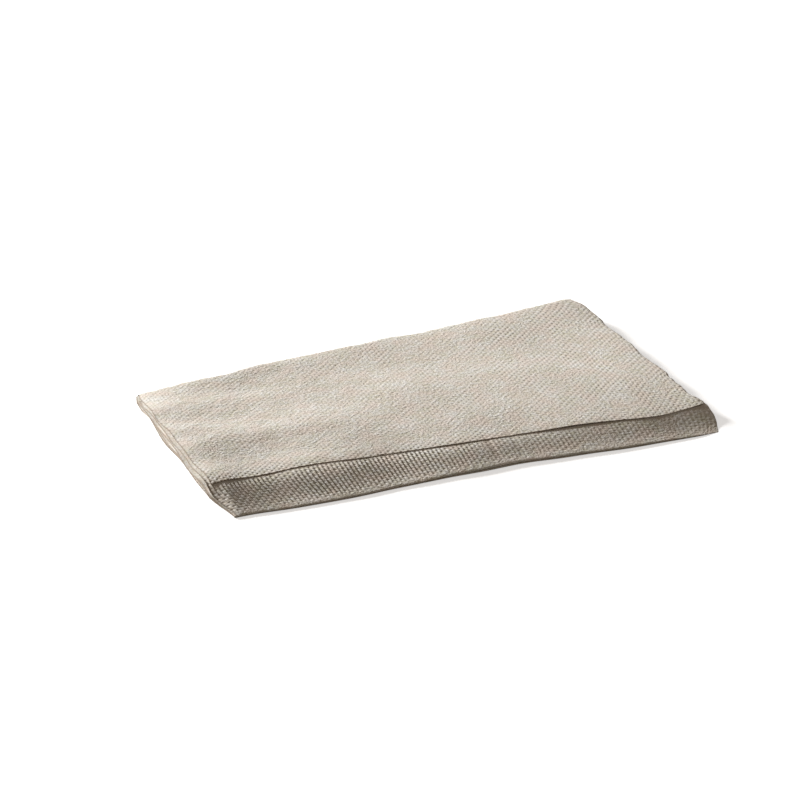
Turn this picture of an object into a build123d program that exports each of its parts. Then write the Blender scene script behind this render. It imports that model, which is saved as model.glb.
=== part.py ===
from build123d import *
import os

# Folded paper napkin, in millimetres.
#
# One sheet of thin brown tissue, folded in three along its length and then once across the middle.
# Both halves carry the same three layers: the back panel, the panel tucked in from the front fold,
# and the flap that comes over from the back fold and stops short of the front fold.
# The two back panels meet in the middle of the napkin, so a flap faces up and the other faces down.
#
# Origin: centre of the footprint, on the surface that the napkin lies on.
# +X runs along the long side towards the cross fold, +Y towards the back fold, +Z up.

# Folded napkin, seen from above
LENGTH = 165.0  # open end to the outside of the cross fold
DEPTH = 101.0  # front fold to back fold, outside to outside

# Free edges
FLAP_SETBACK = 16.0  # front fold to the free edge of the flap
TUCK_SETBACK = 6.0  # back fold to the free edge of the tucked panel

# Sheet
SHEET = 0.24  # embossed sheet, over the crests on both faces
LOOSENESS = 0.30  # air between neighbouring layers

# Heights above the middle of the napkin, where the two halves meet
pitch = SHEET + LOOSENESS  # one layer to the next, centre to centre
panel_height = pitch / 2
tuck_height = panel_height + pitch
flap_height = tuck_height + pitch
half_thickness = flap_height + SHEET / 2

# Where the folds turn, measured along Y from the middle of the footprint
front_bend = (tuck_height - panel_height) / 2
back_bend = (flap_height - panel_height) / 2
front_turn = -DEPTH / 2 + front_bend + SHEET / 2
back_turn = DEPTH / 2 - back_bend - SHEET / 2
flap_edge = -DEPTH / 2 + FLAP_SETBACK
tuck_edge = DEPTH / 2 - TUCK_SETBACK

# Where the cross fold turns, and where the open end lies, along X
cross_turn = LENGTH / 2 - half_thickness
open_end = -LENGTH / 2


def folded_line(outwards):
    """Line across one half, from the tucked edge round both folds to the flap's edge.

    It runs as far from the middle of the sheet as outwards says, towards the face that the folds turn out.
    """
    tuck_z = tuck_height + outwards
    panel_z = panel_height - outwards
    flap_z = flap_height + outwards
    tuck = Line((tuck_edge, tuck_z), (front_turn, tuck_z))
    front_fold = TangentArc((front_turn, tuck_z), (front_turn, panel_z), tangent=(-1, 0))
    back_panel = Line((front_turn, panel_z), (back_turn, panel_z))
    back_fold = TangentArc((back_turn, panel_z), (back_turn, flap_z), tangent=(1, 0))
    flap = Line((back_turn, flap_z), (flap_edge, flap_z))
    return [tuck, front_fold, back_panel, back_fold, flap]


def folded_section(x):
    """Section of the sheet across one half, standing at x, square to the long side."""
    outer = folded_line(SHEET / 2)
    inner = folded_line(-SHEET / 2)
    tucked_end = Line(outer[0] @ 0, inner[0] @ 0)
    flap_end = Line(outer[-1] @ 1, inner[-1] @ 1)
    across = Plane(origin=(x, 0, half_thickness), x_dir=(0, 1, 0), z_dir=(1, 0, 0))
    return across * make_face([*outer, flap_end, *inner, tucked_end])


def half():
    """Upper half: three flat layers and their two folds, from the open end to the cross fold."""
    return extrude(folded_section(open_end), amount=cross_turn - open_end, dir=(1, 0, 0))


def cross_fold():
    """All three layers turning over the middle of the napkin, the flap outermost."""
    turn_axis = Axis((cross_turn, 0, half_thickness), (0, 1, 0))
    return revolve(folded_section(cross_turn), turn_axis, 180)


def napkin():
    upper = half()
    lower = mirror(upper, Plane.XY.offset(half_thickness))
    return upper + cross_fold() + lower


os.makedirs("parts", exist_ok=True)
export_step(napkin(), "parts/napkin.step")
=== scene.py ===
"""Folded paper napkin: one embossed sheet of brown tissue, folded in three and then once across the middle.

The sheet is worked out flat, folded round its creases, and then settled as loose paper lies on a table.
"""

import math
from typing import NamedTuple

import bpy
import numpy as np
from bpy.props import FloatProperty, FloatVectorProperty, PointerProperty, StringProperty
from bpy.types import Operator, Panel, PropertyGroup
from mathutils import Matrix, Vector


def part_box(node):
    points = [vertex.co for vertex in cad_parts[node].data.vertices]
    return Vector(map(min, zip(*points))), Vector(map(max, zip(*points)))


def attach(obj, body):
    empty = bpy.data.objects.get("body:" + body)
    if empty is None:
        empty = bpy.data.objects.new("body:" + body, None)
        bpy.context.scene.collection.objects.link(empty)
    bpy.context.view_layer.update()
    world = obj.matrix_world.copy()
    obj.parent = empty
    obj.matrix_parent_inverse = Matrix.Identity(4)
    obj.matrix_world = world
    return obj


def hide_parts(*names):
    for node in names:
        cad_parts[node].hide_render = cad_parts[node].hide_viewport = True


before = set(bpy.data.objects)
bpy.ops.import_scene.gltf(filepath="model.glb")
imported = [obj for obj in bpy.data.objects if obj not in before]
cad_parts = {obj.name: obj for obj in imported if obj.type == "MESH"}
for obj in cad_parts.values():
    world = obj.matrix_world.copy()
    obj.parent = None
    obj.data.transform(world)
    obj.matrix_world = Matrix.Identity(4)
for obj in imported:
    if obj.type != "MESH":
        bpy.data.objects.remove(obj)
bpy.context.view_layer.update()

bl_info = {
    "name": "Folded paper napkin",
    "version": (1, 0, 0),
    "blender": (4, 5, 0),
    "location": "View3D > Sidebar > Napkin",
    "description": "Folds one sheet of embossed tissue and sets it on a pale studio floor",
    "category": "Add Mesh",
}

MM = 0.001
NAPKIN_LOW, NAPKIN_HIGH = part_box("napkin")
LENGTH = NAPKIN_HIGH.x - NAPKIN_LOW.x
THICKNESS = NAPKIN_HIGH.z - NAPKIN_LOW.z


def linear(hex_colour):
    """sRGB hex colour as linear red, green, blue and alpha."""
    parts = [int(hex_colour[i : i + 2], 16) / 255 for i in (1, 3, 5)]
    return (*[c / 12.92 if c <= 0.04045 else ((c + 0.055) / 1.055) ** 2.4 for c in parts], 1.0)


def smooth(t):
    """0 below 0, 1 above 1 and an even curve between."""
    t = np.clip(t, 0, 1)
    return t * t * (3 - 2 * t)


def near(distance, reach):
    """1 at no distance, fading softly over the reach."""
    return np.exp(-((distance / reach) ** 2))


def humps(x, rows):
    """Sum of soft humps, each given by its middle, its half width and its height."""
    return sum(high * near(x - middle, wide) for middle, wide, high in rows)


def in_metres(*rows):
    """Rows of millimetres as metres."""
    return [tuple(n * MM for n in row) for row in rows]


class Change(NamedTuple):
    """A value that goes evenly from one to another, from a place on and over a length."""

    before: float
    after: float
    place: float
    over: float

    def at(self, x):
        """Value at places x."""
        return self.before + (self.after - self.before) * smooth((x - self.place) / self.over)


class Waves(NamedTuple):
    """Gentle waves of mixed lengths and directions, alike in each run."""

    high: float
    shortest: float
    longest: float
    seed: int
    number: int = 14

    def at(self, x, y):
        """Height of the waves at places x and y."""
        draw = np.random.default_rng(self.seed)
        heading = draw.uniform(0, 2 * math.pi, self.number)
        wave = 2 * math.pi / draw.uniform(self.shortest, self.longest, self.number)
        phase = draw.uniform(0, 2 * math.pi, self.number)
        total = 0
        for a, k, p in zip(heading, wave, phase):
            total = total + np.sin(k * (x * math.cos(a) + y * math.sin(a)) + p)
        return self.high * total / math.sqrt(self.number / 2)


class Corner(NamedTuple):
    """An amount that is full at one corner of the napkin and fades along both of its sides."""

    end: str
    end_reach: float
    side: str
    side_reach: float
    amount: float

    def at(self, lying):
        """Share of the amount at each place of the lying sheet."""
        return self.amount * lying.by(self.end, self.end_reach) * lying.by(self.side, self.side_reach)


class Turns(NamedTuple):
    """Steps in which a face of the sheet goes round each fold."""

    front: int
    back: int
    cross: int


# The six layers, counted up from the floor: flap, tucked panel, back panel, and the same three the other way
# up. Each of the upper three lies this many layers above the middle
LAYERS = 6
PANEL_LAYER, TUCK_LAYER, FLAP_LAYER = 0.5, 1.5, 2.5

# How finely the sheet is divided: steps to a cell of the embossing on the upper half and on the lower one,
# then the pace where the outer face is hidden and the pace of the inner face
FINE_STEPS = 4
BROAD_STEPS = 2
HIDDEN_PACE = 7 * MM
INSIDE_PACE = 4 * MM
OUTER_TURNS = Turns(front=8, back=10, cross=16)
INNER_TURNS = Turns(front=6, back=8, cross=12)
# No step is much shorter than the others: the least first and last one, as a share of the pace
LEAST_STEP = 0.4
CREASE_SMOOTH_ANGLE = math.radians(50)
# How far under the flap's edge the layer below it is still divided finely and embossed
UNDER_FLAP = 3 * MM

# The sheet is thinner along its cut edges, where the fibres stand loose. There its colour is darker, partly
# the loose fibres' own tone and partly painted shade of the gaps between the layers
EDGE_THINNED = 0.6
EDGE_THINNED_REACH = 2 * MM
CUT_TONE_AND_SHADE_REACH = 0.5 * MM
# Length over which the layers fan and step back at the open end, and the share of the full step back
END_REACH = 12 * MM
END_STEP = 0.6

# The lattice's turn against the folds at the cross fold, how much longer its cells are along the sheet than
# across, and how much closer they lie away from the cross fold
LATTICE_TURN = math.radians(5.5)
CELL_STRETCH = 1.07
CELL_PACKED = 0.12
# Depth of the crossing waves in the mesh, as a share of the pits' depth: the rest is too fine for the mesh
SHAPED_SHARE = 0.20
# How much of those waves is taken off the pits in the material
SHAPED_TAKEN_OFF = 0.3
# Depth of the pits from the open end to the cross fold, as a share of the full depth: the flap is worn, most
# at the open end, and the front band is crisp there
FLAP_EMBOSS = Change(0.43, 0.71, 16 * MM, 48 * MM)
BAND_EMBOSS = Change(1.32, 0.64, -40 * MM, 75 * MM)
EMBOSS_PATCHES = Waves(0.15, 7 * MM, 26 * MM, 5)
EMBOSS_LEAST, EMBOSS_MOST = 0.25, 2
# The band's depth takes over from the flap's, from this far behind the flap's edge and over this length
BAND_TAKES_OVER = 8 * MM
BAND_TAKEN_OVER = 12 * MM
# Length over which the pits fade towards the front fold and start after the back fold
FRONT_FOLD_FADE = 2.6 * MM
BACK_FOLD_FADE = 2.0 * MM
# Height of the tissue between the columns of pits, as a share of the pits' depth: everywhere, and added on
# the band, where it fades before the front fold
COLUMN_RIDGE = 0.075
BAND_RIDGE = 0.66
BAND_RIDGE_SHARE = Change(1, 0.15, -60 * MM, 100 * MM)
BAND_RIDGE_PATCHES = Waves(0.30, 6 * MM, 22 * MM, 53)
BAND_RIDGE_FADE = 7 * MM

# The flap's edge seen from above: middle, half width and shift of each bow, forwards where negative
FLAP_WANDER = in_metres((-52, 30, 3.0), (25, 26, -1.2), (64, 22, -4.2))
# The same edge against the layer under it: middle, half width and height of each rise
FLAP_LIFTS = in_metres((-4, 8, 0.12), (37, 13, 0.30), (61, 6, 0.14), (82, 5, 0.20))
# Share of the gap under it that is pressed out, and how far in from the edge all three reach
FLAP_PRESSED = 0.92
FLAP_REACH = 16 * MM

# The front, where only four layers lie, drops to the floor and thins towards its fold, least in the middle
BAND_PINCH = 0.70
BAND_EASED = 0.36
BAND_EASED_PLACE = 6 * MM
BAND_EASED_REACH = 46 * MM
# It is flat at the cross fold and more rounded away from it
BAND_ROUNDING = 1.1
BAND_ROUNDING_REACH = 90 * MM
# It drops once more close to the cross fold
BAND_END_DROP = 0.36
BAND_END_REACH = 9 * MM
# Its fold curls up a little
BAND_CURL = 0.06 * MM
BAND_CURL_REACH = 2.6 * MM
# Short creases across it: middle, half width and depth of each, then how far ahead of the flap's edge they
# lie and how far they reach from there
BAND_CREASES = in_metres((6.6, 0.7, 0.24), (14.5, 0.9, 0.16), (-38, 1.0, 0.12))
BAND_MIDDLE = 6 * MM
BAND_CREASE_REACH = 8 * MM

# How full the layers lie, against the flat napkin: everywhere, and added inside, in an arc along the length
# that starts this far on, is fullest a third of the way from the open end and ends at the cross fold
LOFT = 0.90
LOFT_INSIDE = 0.34
LOFT_START = 0.25
# Fullness that the folds add: along the cross fold, growing with the share of the depth, and along the back
# fold, growing with the share of the length
CROSS_SPRUNG = Change(0, 0.22, 0, 0.25)
CROSS_SPRUNG_REACH = 34 * MM
BACK_SPRUNG = Change(0, 0.28, 0, 0.2)
BACK_SPRUNG_REACH = 14 * MM
CORNERS_SPRUNG = (
    Corner("right", 24 * MM, "back", 20 * MM, 0.24),
    Corner("left", 40 * MM, "back", 26 * MM, -0.06),
    Corner("left", 9 * MM, "back", 7 * MM, -0.07),
)
# The crest just behind the flap's edge falls slowly to the back, more slowly at the cross fold, and quickly
# to the front. At the open end a second crest, still steeper in front, adds to it
CREST = 0.40
CREST_BEHIND = 2 * MM
CREST_BACK_REACH = 55 * MM
CREST_BACK_ADDED = 30 * MM
CREST_FRONT_REACH = 19 * MM
CREST_END = 0.40
CREST_END_REACH = 26 * MM
CREST_END_FRONT_REACH = 12 * MM

# Handling shows most at the open end: least and added strength of it, and where and how fast it fades, by the
# share of the length
HANDLED_LEAST = 0.40
HANDLED_ADDED = 1.40
HANDLED_START = 1.2
HANDLED_FALL = 1.9
# Dents in how full the layers lie. The small and the long ones follow handling, and the long ones are drawn
# out along the napkin
BROAD_DENTS = Waves(0.026, 22 * MM, 60 * MM, 11)
SMALL_DENTS = Waves(0.005, 9 * MM, 18 * MM, 12)
LONG_DENTS = Waves(0.053, 30 * MM, 70 * MM, 2349)
LONG_DENTS_DRAWN = 1.4
# Faint wrinkles of the top layer
WRINKLES = Waves(0.0081 * MM, 6 * MM, 14 * MM, 22)
FINE_WRINKLES = Waves(0.009 * MM, 2.6 * MM, 6 * MM, 23, 40)
# The top layer sinks at one corner of the open end
CORNER_DROP = Corner("left", 7 * MM, "back", 6 * MM, -0.22 * MM)

# The open end rolls off sharply, most on the band: its reach by the share of the depth, and the fullness that
# it takes
ROLL_REACH = Change(2.0 * MM, 5.2 * MM, 0, 1 / 6)
ROLL = 0.03
ROLL_BAND = 0.80
ROLL_BAND_REACH = 7 * MM
# The layers fan there, but not at the back fold. Each has waves of its own too, read this far apart, but for
# the lowest, which lies on the floor
FAN = 0.14
FAN_WAVES = Waves(0.12, 16 * MM, 50 * MM, 13)
FAN_CLOSED_REACH = 10 * MM
LAYER_RISE = Waves(0.08 * MM, 14 * MM, 44 * MM, 42)
LAYER_RISE_REACH = 6 * MM
LAYERS_APART = 40 * MM
LOWEST_LAYER = 0.9

# The outline runs out towards the cross fold and in towards the open end
TAPER = 0.065
# The front edge runs inwards up to the middle, stays there, and bows in once more
FRONT_BOW = 2.2 * MM
FRONT_BOW_REACH = 30 * MM
FRONT_HUMP = in_metres((9, 26, 2.3))
FRONT_HUMP_REACH = 14 * MM
# The back edge is drawn in near the open end: distance from that end, half width and shift
BACK_DRAWN = in_metres((26, 24, -2.6))
BACK_DRAWN_REACH = 26 * MM
# The open end runs out from the front on, a little less at the back
END_OUT = Change(3.2 * MM, 2.0 * MM, 0, 45 * MM)
END_OUT_START = 16 * MM
END_OUT_REACH = 40 * MM
# At the cross fold the band stands out and the flap behind it is drawn in: distance ahead of the flap's edge,
# reach across the napkin, reach along it, and shift
BAND_OUT = in_metres((5, 6, 10, 1.9))
FLAP_IN = in_metres((-6, 9, 12, -0.8))
# The corners are blunt and uneven: their shifts along the napkin and across it
CORNERS_ALONG = (
    Corner("right", 18 * MM, "back", 5 * MM, -2.2 * MM),
    Corner("right", 14 * MM, "front", 4 * MM, -1.6 * MM),
    Corner("left", 4 * MM, "back", 3 * MM, 1.2 * MM),
)
CORNERS_ACROSS = (
    Corner("left", 26 * MM, "front", 24 * MM, 1.4 * MM),
    Corner("left", 26 * MM, "back", 24 * MM, -1.4 * MM),
    Corner("right", 5 * MM, "back", 18 * MM, -1.0 * MM),
    Corner("right", 40 * MM, "back", 30 * MM, 1.6 * MM),
    Corner("right", 5 * MM, "front", 14 * MM, 1.0 * MM),
)
# Uneven edges: side, waves along it, and how far in they reach
UNEVEN_ALONG = (
    ("right", Waves(0.34 * MM, 10 * MM, 50 * MM, 33), 20 * MM),
    ("right", Waves(0.10 * MM, 2.5 * MM, 8 * MM, 34), 4 * MM),
)
UNEVEN_ACROSS = (
    ("front", Waves(0.30 * MM, 16 * MM, 60 * MM, 31), 20 * MM),
    ("back", Waves(0.34 * MM, 12 * MM, 60 * MM, 32), 20 * MM),
    ("back", Waves(0.10 * MM, 2.5 * MM, 8 * MM, 35), 4 * MM),
)
# The same at the open end, where each layer has its own
UNEVEN_LAYERS = (
    (Waves(0.26 * MM, 14 * MM, 60 * MM, 41), 20 * MM),
    (Waves(0.07 * MM, 1.4 * MM, 4 * MM, 43), 1.2 * MM),
)
# The paper has stretched unevenly, which bends the rows of the lattice
STRETCH_ALONG = Waves(0.11 * MM, 14 * MM, 40 * MM, 51)
STRETCH_ACROSS = Waves(0.11 * MM, 14 * MM, 40 * MM, 52)

# How sharp the pits are in the material, and how much painted shade darkens them towards the pit colour
PIT_NARROWNESS = 1.5
PAINTED_PIT_SHADE = 0.07
# Real sizes of what is seen in the tissue
GRAIN = 0.70 * MM
FUZZ = 0.8 * MM
FIBRES = 1.3 * MM
PULP_CLOUD = 8 * MM
WARM_PATCH = 6 * MM
FLECK_SPACING = 4.5 * MM
FLECK_RADIUS = 0.26 * MM
GRAIN_HEIGHT = 0.16 * MM
FIBRE_HEIGHT = 0.22 * MM
PULP = {
    "grain": {"Scale": 1 / GRAIN, "Detail": 1.0, "Roughness": 0.5},
    "fuzz": {"Scale": 1 / FUZZ, "Detail": 1.0, "Roughness": 0.6},
    "fibre": {"Scale": 1 / FIBRES, "Detail": 2.0, "Roughness": 0.55, "Distortion": 0.3},
    "cloud": {"Scale": 1 / PULP_CLOUD, "Detail": 4.0, "Roughness": 0.6},
    "warm": {"Scale": 1 / WARM_PATCH, "Detail": 2.0, "Roughness": 0.55},
}
# Shares of the fibres and of the fuzz in the tissue's tone
FIBRE_SHARE = 0.6
FUZZ_SHARE = 0.15
# Depths of the embossing at which the tissue counts as worn and as crisp
WORN, CRISP = 0.49, 0.77
# How far in from a cut edge the knife has pressed the fibres down
KNIFE_REACH = 2.4 * MM

WHITE = (1.0, 1.0, 1.0, 1.0)
FLOOR_GREY = (0.8, 0.8, 0.8, 1.0)
FLOOR_GLOW = 0.55
FLOOR_WIDTH = 12
FLOOR_DROP = 0.02 * MM
AIR_LIGHT = 0.19
AIR_TINT = "#ffedda"
# The one lamp stands low behind the napkin and to its left
KEY_PLACE = (-1.72, 3.04, 1.04)
KEY_WIDTH = 0.84
KEY_POWER = 352


class NapkinSheet(PropertyGroup):
    """Sizes and colours of the tissue."""

    sheet: FloatProperty(
        name="Sheet", description="Thickness of the embossed sheet", default=0.24 * MM, subtype="DISTANCE"
    )
    flap_setback: FloatProperty(
        name="Flap setback", description="Front fold to the flap's edge", default=16 * MM, subtype="DISTANCE"
    )
    tuck_setback: FloatProperty(
        name="Tuck setback", description="Back fold to the tucked edge", default=6 * MM, subtype="DISTANCE"
    )
    cell: FloatProperty(
        name="Cell", description="Repeat of the embossing on each side", default=2.39 * MM, subtype="DISTANCE"
    )
    pit_depth: FloatProperty(
        name="Pit depth", description="Depth of one embossed pit", default=0.115 * MM, subtype="DISTANCE"
    )
    paper: StringProperty(name="Paper", description="Colour of the tissue", default="#d5d3cf")
    shade: StringProperty(name="Clouding", description="Colour of the denser pulp", default="#beb9a6")
    warm: StringProperty(name="Warm patches", description="Colour of the woody patches", default="#cebeb2")
    fleck: StringProperty(name="Flecks", description="Colour of the bark flecks", default="#6f563f")
    # Painted shade deep in the pits: the colour that the pits are darkened towards
    pit: StringProperty(name="Pits", description="Colour deep in the pits", default="#7d6d5b")
    # Darker colour along cut edges: partly the loose fibres' own tone, partly painted shade of the gaps
    # between the layers
    cut: StringProperty(name="Cut edges", description="Colour of fibres along a cut edge", default="#7c6853")


class NapkinStage(PropertyGroup):
    """Where the camera stands."""

    turn: FloatProperty(
        name="Turn", description="Camera round the napkin", default=math.radians(-23.2), subtype="ANGLE"
    )
    rise: FloatProperty(
        name="Rise", description="Camera above the floor", default=math.radians(25.2), subtype="ANGLE"
    )
    distance: FloatProperty(
        name="Distance", description="Camera to the napkin", default=0.906, subtype="DISTANCE"
    )
    aim: FloatVectorProperty(
        name="Aim", description="Where the camera looks, on the napkin", default=(-0.0064, 0.0057), size=2,
        unit="LENGTH",
    )
    lens: FloatProperty(name="Lens", description="Focal length in millimetres", default=126, unit="CAMERA")


class Fold:
    """Lengths of the folded sheet, from its outside size and its free edges."""

    def __init__(self, size):
        self.sheet = size.sheet
        self.pitch = (THICKNESS - size.sheet) / (LAYERS - 1)
        self.middle = NAPKIN_LOW.z + THICKNESS / 2
        self.panel, self.tuck, self.flap = [n * self.pitch for n in (PANEL_LAYER, TUCK_LAYER, FLAP_LAYER)]
        self.front_bend = (self.tuck - self.panel) / 2
        self.back_bend = (self.flap - self.panel) / 2
        self.front = NAPKIN_LOW.y
        self.back = NAPKIN_HIGH.y
        self.front_turn = self.front + self.front_bend + size.sheet / 2
        self.back_turn = self.back - self.back_bend - size.sheet / 2
        self.flap_edge = self.front + size.flap_setback
        self.tuck_edge = self.back - size.tuck_setback
        self.open_end = NAPKIN_LOW.x
        self.cross_turn = NAPKIN_HIGH.x - self.flap - size.sheet / 2
        # Lengths along the flat sheet from its tucked edge
        self.at_front = self.tuck_edge - self.front_turn
        self.at_panel = self.at_front + math.pi * self.front_bend
        self.at_back = self.at_panel + self.back_turn - self.front_turn
        self.at_flap = self.at_back + math.pi * self.back_bend
        self.width = self.at_flap + self.back_turn - self.flap_edge
        self.at_open = self.tuck_edge - self.flap_edge - UNDER_FLAP
        self.length = 2 * (self.cross_turn - self.open_end) + math.pi * self.panel

    def section(self, v, outwards):
        """Places (y, height above the middle) of lengths v along the sheet, as far out as outwards says."""
        turn_f = np.clip((v - self.at_front) / self.front_bend, 0, math.pi)
        turn_b = np.clip((v - self.at_back) / self.back_bend, 0, math.pi)
        parts = [v < self.at_front, v < self.at_panel, v < self.at_back, v < self.at_flap]
        y = np.select(
            parts,
            [
                self.tuck_edge - v,
                self.front_turn - (self.front_bend + outwards) * np.sin(turn_f),
                self.front_turn + v - self.at_panel,
                self.back_turn + (self.back_bend + outwards) * np.sin(turn_b),
            ],
            self.back_turn - (v - self.at_flap),
        )
        height = np.select(
            parts,
            [
                self.tuck + outwards,
                (self.tuck + self.panel) / 2 + (self.front_bend + outwards) * np.cos(turn_f),
                self.panel - outwards,
                (self.flap + self.panel) / 2 - (self.back_bend + outwards) * np.cos(turn_b),
            ],
            self.flap + outwards,
        )
        return y, height

    def step_back(self, height):
        """How far a layer stops short at the open end: the outer ones go further round the cross fold."""
        return math.pi / 2 * (height - self.panel + self.sheet / 2)


def marks(low, high, pace, origin):
    """low, high and each mark between them, a pace apart and counted from origin, none crowding an end."""
    first = math.ceil((low - origin) / pace + LEAST_STEP)
    last = math.floor((high - origin) / pace - LEAST_STEP)
    return np.concatenate([[low], origin + pace * np.arange(first, last + 1), [high]])


def turning(low, high, steps):
    """Marks in even steps after low, up to high."""
    return np.linspace(low, high, steps + 1)[1:]


def rows_across(fold, tucked, panel_pace, flap_pace, turns):
    """Lengths v of the rows: those of the tucked panel, then on through both folds to the flap's edge."""
    return np.concatenate([
        tucked,
        turning(fold.at_front, fold.at_panel, turns.front),
        marks(fold.at_panel, fold.at_back, panel_pace, fold.at_panel)[1:],
        turning(fold.at_back, fold.at_flap, turns.back),
        marks(fold.at_flap, fold.width, flap_pace, fold.width)[1:],
    ])


def outer_rows(fold, pace):
    """Rows of the outer face: close together on the band and the flap, wide apart where they are hidden."""
    hidden = marks(0, fold.at_open, HIDDEN_PACE, 0)
    band = marks(fold.at_open, fold.at_front, pace, fold.width)[1:]
    return rows_across(fold, np.concatenate([hidden, band]), HIDDEN_PACE, pace, OUTER_TURNS)


def inner_rows(fold):
    """Rows of the inner face, which is plain."""
    tucked = marks(0, fold.at_front, INSIDE_PACE, 0)
    return rows_across(fold, tucked, INSIDE_PACE, INSIDE_PACE, INNER_TURNS)


class Columns:
    """Columns along the sheet: upper flat ones, those turning round the cross fold, then lower flat ones."""

    def __init__(self, fold, upper, angles, lower):
        self.x = np.concatenate([upper, np.full(len(angles), fold.cross_turn), lower])
        self.angle = np.concatenate([np.zeros(len(upper)), angles, np.full(len(lower), math.pi)])


def lattice(u, v, cell):
    """Broad part of the embossing: two waves that cross cornerwise, 1 in pits and 0 where ridges cross."""
    k = 2 * math.pi / cell
    return (2 + np.cos(k * (u + v)) + np.cos(k * (u - v))) / 4


def askew(fold, x, u, v):
    """Place on the sheet, which was embossed and folded a little askew, more so towards the cross fold."""
    along = (x - fold.open_end) / (fold.cross_turn - fold.open_end)
    turned = LATTICE_TURN * along
    packed = 1 + CELL_PACKED * np.abs(u) / fold.length
    return u / CELL_STRETCH * packed + turned * v, v - turned * (x - fold.open_end) / 2


def embossing(fold, x, y, v):
    """How deep the pits are: none on the folds and where the sheet is hidden, and patchy elsewhere."""
    open_faces = smooth((fold.at_front - v) / FRONT_FOLD_FADE) + smooth((v - fold.at_flap) / BACK_FOLD_FADE)
    band = smooth((fold.flap_edge + BAND_TAKES_OVER - y) / BAND_TAKEN_OVER)
    depth = FLAP_EMBOSS.at(x) * (1 - band) + BAND_EMBOSS.at(x) * band + EMBOSS_PATCHES.at(x, y)
    return np.where(v < fold.at_open, 0, open_faces * np.clip(depth, EMBOSS_LEAST, EMBOSS_MOST))


def ridging(fold, x, v):
    """How high the tissue stands between the columns of pits, as a share of their depth: most on the band."""
    band = smooth((fold.at_front - v) / BAND_RIDGE_FADE) * BAND_RIDGE_SHARE.at(x)
    return COLUMN_RIDGE + BAND_RIDGE * band * (1 + BAND_RIDGE_PATCHES.at(x, v))


def handling(along):
    """How much handling shows, by the share of the length."""
    return HANDLED_LEAST + HANDLED_ADDED * smooth(HANDLED_START - HANDLED_FALL * along)


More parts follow.
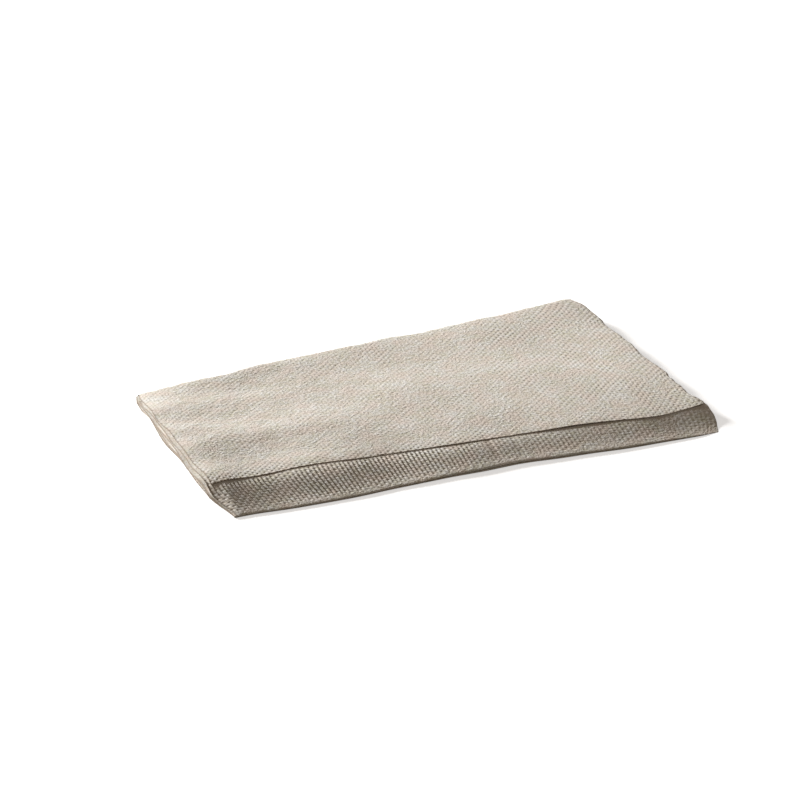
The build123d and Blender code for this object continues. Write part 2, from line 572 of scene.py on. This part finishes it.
class Lying:
    """The folded sheet as it lies: front drooped, flap loose, layers fanned, edges and corners uneven."""

    def __init__(self, fold, x, y, z, level):
        self.fold, self.x, self.z, self.level = fold, x, z, level
        # 1 on the top layer and 0 from the next one down, and 1 on the upper half and 0 on the lower one
        self.loose = smooth((level - fold.tuck / fold.flap) / (1 - fold.tuck / fold.flap))
        self.upper = smooth(level * 2)
        self.edge = fold.flap_edge + humps(x, FLAP_WANDER)
        self.y = y + (self.edge - fold.flap_edge) * near(y - fold.flap_edge, FLAP_REACH) * self.loose
        self.ahead = np.maximum(self.edge - self.y, 0)
        self.gaps = {
            "left": x - NAPKIN_LOW.x,
            "right": NAPKIN_HIGH.x - x,
            "front": self.y - fold.front,
            "back": fold.back - self.y,
        }
        self.along = self.gaps["left"] / LENGTH

    def by(self, side, reach):
        """1 at a side of the flat napkin, fading over the reach."""
        return near(self.gaps[side], reach)

    def ahead_of_flap(self, distance, reach):
        """1 at a distance ahead of the flat napkin's flap, fading over the reach to both sides."""
        return near(self.y - self.fold.flap_edge + distance, reach)

    def fullness(self):
        """How full the layers lie, against the flat napkin."""
        along = np.clip(self.along, 0, 1)
        inward = np.clip(self.gaps["front"] / (self.fold.back - self.fold.front), 0, 1)
        lengthwise = np.sin(math.pi * (LOFT_START + (1 - LOFT_START) * along))
        full = LOFT + LOFT_INSIDE * np.sqrt(lengthwise * np.sin(math.pi * inward))
        full = full + CROSS_SPRUNG.at(inward) * self.by("right", CROSS_SPRUNG_REACH)
        full = full + BACK_SPRUNG.at(along) * self.by("back", BACK_SPRUNG_REACH)
        full = full + sum(corner.at(self) for corner in CORNERS_SPRUNG)
        behind = self.y - self.fold.flap_edge - CREST_BEHIND
        to_front, to_back = np.minimum(behind, 0), np.maximum(behind, 0)
        crest = CREST * near(to_front, CREST_FRONT_REACH)
        crest = crest + CREST_END * near(to_front, CREST_END_FRONT_REACH) * self.by("left", CREST_END_REACH)
        full = full + crest * near(to_back, CREST_BACK_REACH + CREST_BACK_ADDED * along)
        handled = handling(along)
        full = full + BROAD_DENTS.at(self.x, self.y) + handled * SMALL_DENTS.at(self.x, self.y)
        full = full + handled * LONG_DENTS.at(self.x, LONG_DENTS_DRAWN * self.y)
        fan = self.by("left", END_REACH) * (FAN + FAN_WAVES.at(self.y, 0))
        full = full + fan * (1 - self.by("back", FAN_CLOSED_REACH))
        rolled = np.clip(1 - self.gaps["left"] / ROLL_REACH.at(inward), 0, 1)
        full = full - rolled * (ROLL + ROLL_BAND * self.ahead_of_flap(BAND_MIDDLE, ROLL_BAND_REACH))
        creased = humps(self.x, BAND_CREASES) / THICKNESS * self.ahead_of_flap(BAND_MIDDLE, BAND_CREASE_REACH)
        return full - creased

    def height(self):
        """Height above the floor, with the front dropped and the flap's edge down on the layer under it."""
        fold, from_right = self.fold, self.gaps["right"]
        across = self.ahead / (self.edge - fold.front)
        band = smooth(across)
        rounding = 1 + BAND_ROUNDING * smooth(from_right / BAND_ROUNDING_REACH)
        pinch = BAND_PINCH * (1 - BAND_EASED * near(self.x - BAND_EASED_PLACE, BAND_EASED_REACH))
        end_drop = BAND_END_DROP * band * np.exp(-np.maximum(from_right, 0) / BAND_END_REACH)
        full = self.fullness()
        rise = (self.z - fold.pitch * band) * (1 - pinch * across**rounding - end_drop) * full
        rise = rise + BAND_CURL * self.by("front", BAND_CURL_REACH) * self.upper
        gap = (fold.pitch - fold.sheet * (1 - EDGE_THINNED / 2)) * full
        lifted = (humps(self.x, FLAP_LIFTS) - FLAP_PRESSED * gap) * near(self.y - self.edge, FLAP_REACH)
        wrinkled = handling(self.along) * (WRINKLES.at(self.x, self.y) + FINE_WRINKLES.at(self.x, self.y))
        rise = rise + self.loose * (lifted + wrinkled + CORNER_DROP.at(self))
        fanned = self.by("left", END_REACH) * LAYER_RISE.at(self.y, LAYERS_APART * self.level)
        rise = rise + fanned * smooth(self.level + LOWEST_LAYER) * near(self.ahead, LAYER_RISE_REACH)
        return np.maximum(rise, 0)

    def lengthwise(self):
        """Place along the napkin."""
        x = self.x + sum(corner.at(self) for corner in CORNERS_ALONG)
        run_out = END_OUT.at(self.y) * smooth(self.gaps["front"] / END_OUT_START)
        x = x - run_out * self.by("left", END_OUT_REACH)
        for rows, share in ((BAND_OUT, 1 - self.loose), (FLAP_IN, 1)):
            for distance, across_reach, along_reach, shift in rows:
                reached = self.ahead_of_flap(distance, across_reach) * self.by("right", along_reach)
                x = x + shift * reached * share
        for side, waves, reach in UNEVEN_ALONG:
            x = x + waves.at(self.y, 0) * self.by(side, reach)
        for waves, reach in UNEVEN_LAYERS:
            x = x + waves.at(self.y, LAYERS_APART * self.level) * self.by("left", reach)
        return x + self.upper * STRETCH_ALONG.at(self.x, self.y)

    def crosswise(self):
        """Place across the napkin."""
        y = self.y * (1 + TAPER * (2 * self.along - 1)) + sum(corner.at(self) for corner in CORNERS_ACROSS)
        y = y + humps(self.x, FRONT_HUMP) * self.by("front", FRONT_HUMP_REACH)
        y = y + FRONT_BOW * np.sin(math.pi * np.minimum(self.along, 0.5)) * self.by("front", FRONT_BOW_REACH)
        y = y + humps(self.gaps["left"], BACK_DRAWN) * self.by("back", BACK_DRAWN_REACH)
        for side, waves, reach in UNEVEN_ACROSS:
            y = y + waves.at(self.x, 0) * self.by(side, reach)
        return y + self.upper * STRETCH_ACROSS.at(self.x, self.y)

    def points(self):
        """Place of each vertex."""
        return np.stack([self.lengthwise(), self.crosswise(), self.height()], -1)


def face_of_sheet(fold, size, column, v, outer):
    """Vertices of one face of the sheet as it lies, their places on the flat sheet, and their shares."""
    cols, rows = np.meshgrid(np.arange(len(column.x)), v, indexing="ij")
    x, angle = column.x[cols], column.angle[cols]
    from_end = x - fold.open_end
    inset = np.minimum(np.minimum(rows, fold.width - rows), from_end)
    half = fold.sheet / 2 * (1 - EDGE_THINNED * near(inset, EDGE_THINNED_REACH))
    middle_y, middle_height = fold.section(rows, 0)
    # Place along the sheet, counted from the start of the cross fold
    u = np.where(
        angle == 0,
        x - fold.cross_turn,
        np.where(angle < math.pi, angle * middle_height, math.pi * middle_height + fold.cross_turn - x),
    )
    emboss = embossing(fold, x, middle_y, rows)
    sheet_place = askew(fold, x, u, rows - fold.width)
    outwards = -half
    if outer:
        outwards = half - SHAPED_SHARE * size.pit_depth * emboss * lattice(*sheet_place, size.cell)
    y, height = fold.section(rows, outwards)
    stepped = END_STEP * fold.step_back(middle_height) * np.clip(1 - from_end / END_REACH, 0, 1)
    place_x = x + stepped + height * np.sin(angle)
    place_z = fold.middle + height * np.cos(angle)
    level = middle_height * np.cos(angle) / fold.flap
    shares = {"emboss": emboss, "ridge": emboss * ridging(fold, x, rows), "inset": inset}
    return Lying(fold, place_x, y, place_z, level).points(), np.stack(sheet_place, -1), shares


class SheetMesh:
    """Gathers blocks of vertices and the faces between them."""

    def __init__(self):
        self.points, self.places, self.faces = [], [], []
        self.shares = {"emboss": [], "ridge": [], "inset": []}
        self.count = 0

    def block(self, place, sheet_place, shares, outer):
        """Adds a grid of vertices and its faces, and gives the vertices' numbers in the same grid."""
        wide, high = place.shape[:2]
        number = self.count + np.arange(wide * high).reshape(wide, high)
        self.count += wide * high
        self.points.append(place.reshape(-1, 3))
        self.places.append(sheet_place.reshape(-1, 2))
        for name, share in shares.items():
            self.shares[name].append(share.ravel())
        quads = np.stack([number[:-1, :-1], number[:-1, 1:], number[1:, 1:], number[1:, :-1]], -1)
        self.faces.extend((quads if outer else quads[:, :, ::-1]).reshape(-1, 4).tolist())
        return number

    def zip_up(self, a, a_at, b, b_at, turned):
        """Triangles between two rows of vertices that run side by side, by their places along the row."""
        i = j = 0
        while i < len(a) - 1 or j < len(b) - 1:
            if j == len(b) - 1 or (i < len(a) - 1 and a_at[i + 1] <= b_at[j + 1]):
                face = (a[i], b[j], a[i + 1])
                i += 1
            else:
                face = (a[i], b[j], b[j + 1])
                j += 1
            self.faces.append([int(n) for n in (face[::-1] if turned else face)])


def travel(fold, column):
    """Place of each column along the folded length."""
    flat = fold.cross_turn - fold.open_end
    return np.where(
        column.angle == 0,
        column.x - fold.open_end,
        np.where(
            column.angle < math.pi,
            flat + column.angle * fold.tuck,
            flat + math.pi * fold.tuck + fold.cross_turn - column.x,
        ),
    )


def sheet_mesh(fold, size):
    """Closed mesh of the whole sheet, with its outer face fine where it shows and its inner face plain."""
    made = SheetMesh()
    fine, broad = size.cell / FINE_STEPS, size.cell / BROAD_STEPS
    flat_fine, flat_broad, flat_inside = [
        marks(fold.open_end, fold.cross_turn, pace, fold.cross_turn) for pace in (fine, broad, INSIDE_PACE)
    ]
    top = Columns(fold, flat_fine, turning(0, math.pi, OUTER_TURNS.cross), [])
    under = Columns(fold, [], [], flat_broad[-2::-1])
    inside = Columns(fold, flat_inside, turning(0, math.pi, INNER_TURNS.cross), flat_inside[-2::-1])
    top_rows, under_rows, inside_rows = outer_rows(fold, fine), outer_rows(fold, broad), inner_rows(fold)
    top_n = made.block(*face_of_sheet(fold, size, top, top_rows, True), True)
    under_n = made.block(*face_of_sheet(fold, size, under, under_rows, True), True)
    inside_n = made.block(*face_of_sheet(fold, size, inside, inside_rows, False), False)
    made.zip_up(top_n[-1], top_rows, under_n[0], under_rows, True)
    outer_at = np.concatenate([travel(fold, top), travel(fold, under)])
    for row, turned in ((0, True), (-1, False)):
        outer_row = np.concatenate([top_n[:, row], under_n[:, row]])
        made.zip_up(outer_row, outer_at, inside_n[:, row], travel(fold, inside), turned)
    made.zip_up(top_n[0], top_rows, inside_n[0], inside_rows, False)
    made.zip_up(under_n[-1], under_rows, inside_n[-1], inside_rows, True)
    return made


def fold_napkin(size):
    """The napkin's one piece: the folded sheet as a mesh, with its tissue."""
    fold = Fold(size)
    made = sheet_mesh(fold, size)
    mesh = bpy.data.meshes.new("napkin_sheet")
    mesh.from_pydata(np.concatenate(made.points).tolist(), [], made.faces)
    corner_vertex = np.empty(len(mesh.loops), np.int32)
    mesh.loops.foreach_get("vertex_index", corner_vertex)
    uv = mesh.uv_layers.new(name="sheet")
    uv.uv.foreach_set("vector", np.concatenate(made.places)[corner_vertex].astype(np.float32).ravel())
    for name, values in made.shares.items():
        attribute = mesh.attributes.new(name, "FLOAT", "POINT")
        attribute.data.foreach_set("value", np.concatenate(values).astype(np.float32))
    mesh.update()
    piece = bpy.data.objects.new("napkin_sheet", mesh)
    bpy.context.scene.collection.objects.link(piece)
    bpy.ops.object.select_all(action="DESELECT")
    piece.select_set(True)
    bpy.context.view_layer.objects.active = piece
    bpy.ops.object.shade_smooth_by_angle(angle=CREASE_SMOOTH_ANGLE)
    mesh.materials.append(embossed_tissue(size))
    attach(piece, "root")
    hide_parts("napkin")
    return piece


def add(tree, kind, settings=None, links=None):
    """Adds a node, sets its properties by name and sockets by name or number, and links outputs to them."""
    node = tree.nodes.new(kind)
    for name, value in (settings or {}).items():
        if isinstance(name, str) and hasattr(node, name):
            setattr(node, name, value)
        else:
            node.inputs[name].default_value = value
    for name, source in (links or {}).items():
        tree.links.new(source, node.inputs[name])
    return node


def pressed_lattice(tree, sheet, emboss, cell):
    """Relief of the pits and of the ridges between their columns, and how deep in a pit each place is."""
    apart = add(tree, "ShaderNodeSeparateXYZ", None, {0: sheet})
    u, v = apart.outputs["X"], apart.outputs["Y"]
    # Ridges run cornerwise, so the pits repeat along the sum and the difference of both lengths
    waves = []
    for operation in ("ADD", "SUBTRACT"):
        diagonal = add(tree, "ShaderNodeMath", {"operation": operation}, {0: u, 1: v})
        phase = add(
            tree, "ShaderNodeMath", {"operation": "MULTIPLY", 1: 2 * math.pi / cell}, {0: diagonal.outputs[0]}
        )
        wave = add(tree, "ShaderNodeMath", {"operation": "COSINE"}, {0: phase.outputs[0]})
        # From 0 on the ridges to 1 in the pits
        wave = add(
            tree, "ShaderNodeMath", {"operation": "MULTIPLY_ADD", 1: 0.5, 2: 0.5}, {0: wave.outputs[0]}
        )
        waves.append(wave.outputs[0])
    both = add(tree, "ShaderNodeMath", {"operation": "MULTIPLY"}, {0: waves[0], 1: waves[1]})
    narrow = add(tree, "ShaderNodeMath", {"operation": "POWER", 1: PIT_NARROWNESS}, {0: both.outputs[0]})
    # Part of what the mesh has already is taken off the pits
    broad = add(tree, "ShaderNodeMath", {"operation": "ADD"}, {0: waves[0], 1: waves[1]})
    fine = add(
        tree,
        "ShaderNodeMath",
        {"operation": "MULTIPLY_ADD", 1: -SHAPED_TAKEN_OFF * SHAPED_SHARE},
        {0: broad.outputs[0], 2: narrow.outputs[0]},
    )
    pitted = add(tree, "ShaderNodeMath", {"operation": "MULTIPLY"}, {0: fine.outputs[0], 1: emboss})
    # The tissue stands highest between the columns of pits, which come twice to a cell
    phase = add(tree, "ShaderNodeMath", {"operation": "MULTIPLY", 1: 4 * math.pi / cell}, {0: u})
    between = add(tree, "ShaderNodeMath", {"operation": "COSINE"}, {0: phase.outputs[0]})
    ridge = add(tree, "ShaderNodeAttribute", {"attribute_name": "ridge"})
    relief = add(
        tree,
        "ShaderNodeMath",
        {"operation": "MULTIPLY_ADD"},
        {0: between.outputs[0], 1: ridge.outputs["Fac"], 2: pitted.outputs[0]},
    )
    depth = add(tree, "ShaderNodeMath", {"operation": "MULTIPLY"}, {0: narrow.outputs[0], 1: emboss})
    return relief.outputs[0], depth.outputs[0]


def tissue_colour(tree, size, sheet, pulp, depth, inset):
    """Pulp clouded light and dark, with warm patches and bark flecks, painted shade in the pits, and cut
    edges darker, partly from the loose fibres' own tone and partly from painted shade of the gaps between the
    layers.
    """
    # A Mix node has its share at socket 0, its numbers at 2 and 3 and its colours at 6 and 7, and its mixed
    # colour is output 2
    tone = add(
        tree, "ShaderNodeMix", {"data_type": "FLOAT", 0: FIBRE_SHARE}, {2: pulp["cloud"], 3: pulp["fibre"]}
    )
    fuzzy = add(
        tree, "ShaderNodeMix", {"data_type": "FLOAT", 0: FUZZ_SHARE}, {2: tone.outputs[0], 3: pulp["fuzz"]}
    )
    spread = add(tree, "ShaderNodeMapRange", {"From Min": 0.40, "From Max": 0.60}, {0: fuzzy.outputs[0]})
    mixed = add(
        tree,
        "ShaderNodeMix",
        {"data_type": "RGBA", 6: linear(size.shade), 7: linear(size.paper)},
        {0: spread.outputs[0]},
    )
    warm = add(
        tree, "ShaderNodeMapRange", {"From Min": 0.40, "From Max": 0.66, "To Max": 0.65}, {0: pulp["warm"]}
    )
    spots = add(
        tree, "ShaderNodeTexVoronoi", {"Scale": 1 / FLECK_SPACING, "Randomness": 1.0}, {"Vector": sheet}
    )
    rim = FLECK_RADIUS / FLECK_SPACING
    fleck = add(
        tree,
        "ShaderNodeMapRange",
        {"From Min": rim, "From Max": 0.5 * rim, "To Max": 0.6},
        {0: spots.outputs["Distance"]},
    )
    # Painted shade: the pits are darkened by how deep in a pit each place is
    pit = add(tree, "ShaderNodeMath", {"operation": "MULTIPLY", 1: PAINTED_PIT_SHADE}, {0: depth})
    # Cut edges darkened, partly the loose fibres' own tone and partly painted shade of the gaps between the
    # layers
    cut = add(tree, "ShaderNodeMapRange", {"From Min": CUT_TONE_AND_SHADE_REACH, "From Max": 0.0, "To Max": 0.8}, {0: inset})
    for share, colour in ((warm, size.warm), (fleck, size.fleck), (pit, size.pit), (cut, size.cut)):
        mixed = add(
            tree,
            "ShaderNodeMix",
            {"data_type": "RGBA", 7: linear(colour)},
            {0: share.outputs[0], 6: mixed.outputs[2]},
        )
    return mixed.outputs[2]


def standing_fibres(tree, pulp, emboss, inset):
    """Surface of grain and fibres, which stand up where the embossing is worn and lie down at cut edges."""
    pressed = add(
        tree,
        "ShaderNodeMapRange",
        {"From Min": 0.0, "From Max": KNIFE_REACH, "To Min": 0.25, "To Max": 1.0},
        {0: inset},
    )
    surface = None
    for name, height, worn, crisp in (("grain", GRAIN_HEIGHT, 0.8, 0.2), ("fibre", FIBRE_HEIGHT, 1.0, 0.6)):
        ruffled = add(
            tree,
            "ShaderNodeMapRange",
            {"From Min": WORN, "From Max": CRISP, "To Min": worn, "To Max": crisp},
            {0: emboss},
        )
        strength = add(
            tree, "ShaderNodeMath", {"operation": "MULTIPLY"}, {0: ruffled.outputs[0], 1: pressed.outputs[0]}
        )
        links = {"Height": pulp[name], "Strength": strength.outputs[0]}
        if surface:
            links["Normal"] = surface
        surface = add(tree, "ShaderNodeBump", {"Distance": height}, links).outputs[0]
    return surface


def embossed_tissue(size):
    """Unbleached one-ply tissue pressed with a fine lattice: matt, fuzzy, clouded by its pulp and flecked."""
    material = bpy.data.materials.new("embossed unbleached tissue")
    material.use_nodes = True
    tree = material.node_tree
    # Rough fibres give no highlight, only a faint sheen at a low angle
    shader = tree.nodes["Principled BSDF"]
    shader.inputs["Roughness"].default_value = 0.95
    shader.inputs["Specular IOR Level"].default_value = 0.12
    shader.inputs["Sheen Weight"].default_value = 0.12
    shader.inputs["Sheen Roughness"].default_value = 0.6
    sheet = add(tree, "ShaderNodeUVMap", {"uv_map": "sheet"}).outputs["UV"]
    emboss = add(tree, "ShaderNodeAttribute", {"attribute_name": "emboss"}).outputs["Fac"]
    inset = add(tree, "ShaderNodeAttribute", {"attribute_name": "inset"}).outputs["Fac"]
    pulp = {
        name: add(tree, "ShaderNodeTexNoise", settings, {"Vector": sheet}).outputs["Fac"]
        for name, settings in PULP.items()
    }
    relief, depth = pressed_lattice(tree, sheet, emboss, size.cell)
    tree.links.new(tissue_colour(tree, size, sheet, pulp, depth, inset), shader.inputs["Base Color"])
    surface = add(
        tree,
        "ShaderNodeBump",
        {"Distance": size.pit_depth, "Strength": 1.0, "invert": True},
        {"Height": relief, "Normal": standing_fibres(tree, pulp, emboss, inset)},
    )
    tree.links.new(surface.outputs[0], shader.inputs["Normal"])
    return material


class NAPKIN_OT_fold(Operator):
    """Fold the napkin from one flat sheet"""

    bl_idname = "napkin.fold"
    bl_label = "Fold napkin"

    def execute(self, context):
        fold_napkin(context.scene.napkin_sheet)
        return {"FINISHED"}


def area_lamp(name, place, aim, wide, power):
    """Square lamp at a place, turned to what it aims at."""
    bpy.ops.object.light_add(type="AREA", location=place)
    lamp = bpy.context.object
    lamp.name = name
    lamp.data.shape = "SQUARE"
    lamp.data.size = wide
    lamp.data.energy = power
    lamp.rotation_mode = "QUATERNION"
    lamp.rotation_quaternion = (Vector(aim) - Vector(place)).to_track_quat("-Z", "Y")
    return lamp


def studio_floor():
    """Wide matt floor with a glow that only the camera sees, so that it is white and still takes shadow."""
    material = bpy.data.materials.new("white studio floor")
    material.use_nodes = True
    tree = material.node_tree
    tree.nodes.remove(tree.nodes["Principled BSDF"])
    diffuse = add(tree, "ShaderNodeBsdfDiffuse", {"Color": FLOOR_GREY})
    seen = add(tree, "ShaderNodeLightPath").outputs["Is Camera Ray"]
    glow_level = add(tree, "ShaderNodeMath", {"operation": "MULTIPLY", 1: FLOOR_GLOW}, {0: seen})
    glow = add(tree, "ShaderNodeEmission", {"Color": WHITE}, {"Strength": glow_level.outputs[0]})
    both = add(tree, "ShaderNodeAddShader", None, {0: diffuse.outputs[0], 1: glow.outputs[0]})
    tree.links.new(both.outputs[0], tree.nodes["Material Output"].inputs["Surface"])
    bpy.ops.mesh.primitive_plane_add(size=FLOOR_WIDTH, location=(0, 0, -FLOOR_DROP))
    floor = bpy.context.object
    floor.name = "studio_floor"
    floor.data.materials.append(material)
    return floor


def studio_world():
    """White air to the camera, and a faint warm light to everything else."""
    world = bpy.data.worlds.new("studio air")
    bpy.context.scene.world = world
    world.use_nodes = True
    tree = world.node_tree
    back = tree.nodes["Background"]
    seen = add(tree, "ShaderNodeLightPath").outputs["Is Camera Ray"]
    level = add(tree, "ShaderNodeMapRange", {"To Min": AIR_LIGHT, "To Max": 1.0}, {0: seen})
    tint = add(tree, "ShaderNodeMix", {"data_type": "RGBA", 6: linear(AIR_TINT), 7: WHITE}, {0: seen})
    tree.links.new(level.outputs[0], back.inputs["Strength"])
    tree.links.new(tint.outputs[2], back.inputs["Color"])


def photo_camera(stage):
    """Camera at the photo's angle, looking at the top of the flat napkin."""
    back = Vector((
        math.sin(stage.turn) * math.cos(stage.rise),
        -math.cos(stage.turn) * math.cos(stage.rise),
        math.sin(stage.rise),
    ))
    aim = Vector((stage.aim[0], stage.aim[1], NAPKIN_HIGH.z))
    data = bpy.data.cameras.new("camera")
    data.lens = stage.lens
    camera = bpy.data.objects.new("camera", data)
    bpy.context.scene.collection.objects.link(camera)
    camera.location = aim + back * stage.distance
    camera.rotation_mode = "QUATERNION"
    camera.rotation_quaternion = (-back).to_track_quat("-Z", "Y")
    bpy.context.scene.camera = camera


class NAPKIN_OT_stage(Operator):
    """Set the floor, the air, the lamp and the camera"""

    bl_idname = "napkin.stage"
    bl_label = "Set stage"

    def execute(self, context):
        bpy.ops.object.select_all(action="DESELECT")
        studio_floor()
        studio_world()
        area_lamp("key lamp", KEY_PLACE, (0, 0, 0), KEY_WIDTH, KEY_POWER)
        photo_camera(context.scene.napkin_stage)
        context.scene.view_settings.view_transform = "Standard"
        return {"FINISHED"}


class NAPKIN_PT_sidebar(Panel):
    """Sizes, colours and both operators in the sidebar"""

    bl_label = "Folded napkin"
    bl_idname = "NAPKIN_PT_sidebar"
    bl_space_type = "VIEW_3D"
    bl_region_type = "UI"
    bl_category = "Napkin"

    def draw(self, context):
        for group in (context.scene.napkin_sheet, context.scene.napkin_stage):
            box = self.layout.box()
            for name in group.bl_rna.properties.keys():
                if name not in ("rna_type", "name"):
                    box.prop(group, name)
        for operator in OPERATORS:
            self.layout.operator(operator.bl_idname)


OPERATORS = (NAPKIN_OT_fold, NAPKIN_OT_stage)
CLASSES = (NapkinSheet, NapkinStage, *OPERATORS, NAPKIN_PT_sidebar)


def register():
    """Registers the classes and hangs both groups of values on the scene."""
    for cls in CLASSES:
        bpy.utils.register_class(cls)
    bpy.types.Scene.napkin_sheet = PointerProperty(type=NapkinSheet)
    bpy.types.Scene.napkin_stage = PointerProperty(type=NapkinStage)


def unregister():
    """Takes both groups and the classes away again."""
    del bpy.types.Scene.napkin_stage
    del bpy.types.Scene.napkin_sheet
    for cls in reversed(CLASSES):
        bpy.utils.unregister_class(cls)


def main():
    """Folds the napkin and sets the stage."""
    register()
    bpy.ops.napkin.fold()
    bpy.ops.napkin.stage()


if __name__ == "__main__":
    main()
